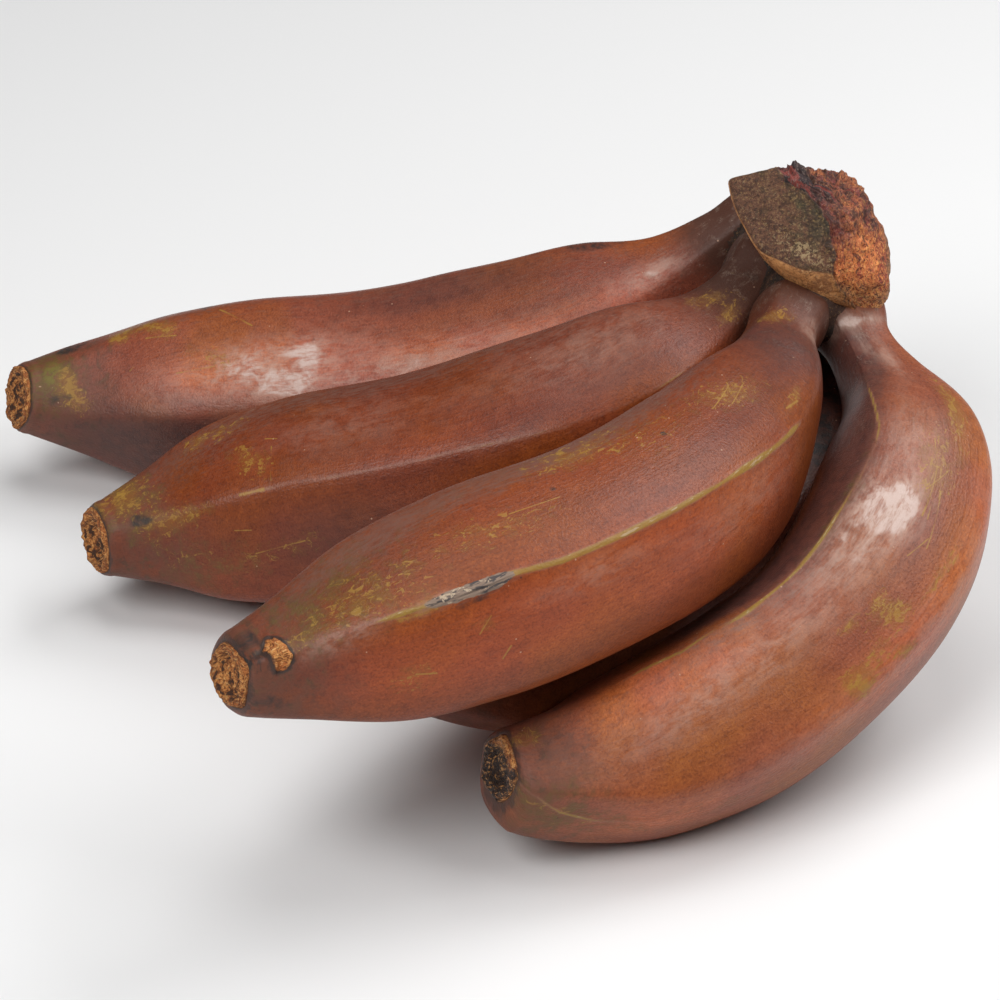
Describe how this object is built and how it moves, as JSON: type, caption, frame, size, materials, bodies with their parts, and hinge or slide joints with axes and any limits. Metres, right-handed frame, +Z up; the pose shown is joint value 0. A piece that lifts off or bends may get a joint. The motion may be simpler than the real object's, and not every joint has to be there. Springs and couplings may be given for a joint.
{
  "type": "red banana",
  "caption": "Hand of curled, plump red bananas joined at one woody crown, lying on its bellies as cut fruit for kitchen, market or still-life scenes.",
  "frame": {"origin": "centre of the bounding box's footprint, on the surface the hand lies on", "axes": "+Z up; the crown lies towards +X, with banana_1 and banana_2 pointing towards -X and banana_3, banana_4 and banana_5 curling towards -Y"},
  "size_m": [0.2166, 0.1872, 0.0935],
  "materials": {
    "crown_bark": "matte",
    "banana_1_skin": "satin",
    "banana_2_skin": "satin",
    "banana_3_skin": "satin",
    "banana_4_skin": "satin",
    "banana_5_skin": "satin"
  },
  "bodies": {
    "root": {"crown": "crown_bark", "banana_1": "banana_1_skin", "banana_2": "banana_2_skin", "banana_3": "banana_3_skin", "banana_4": "banana_4_skin", "banana_5": "banana_5_skin"}
  },
  "joints": []
}
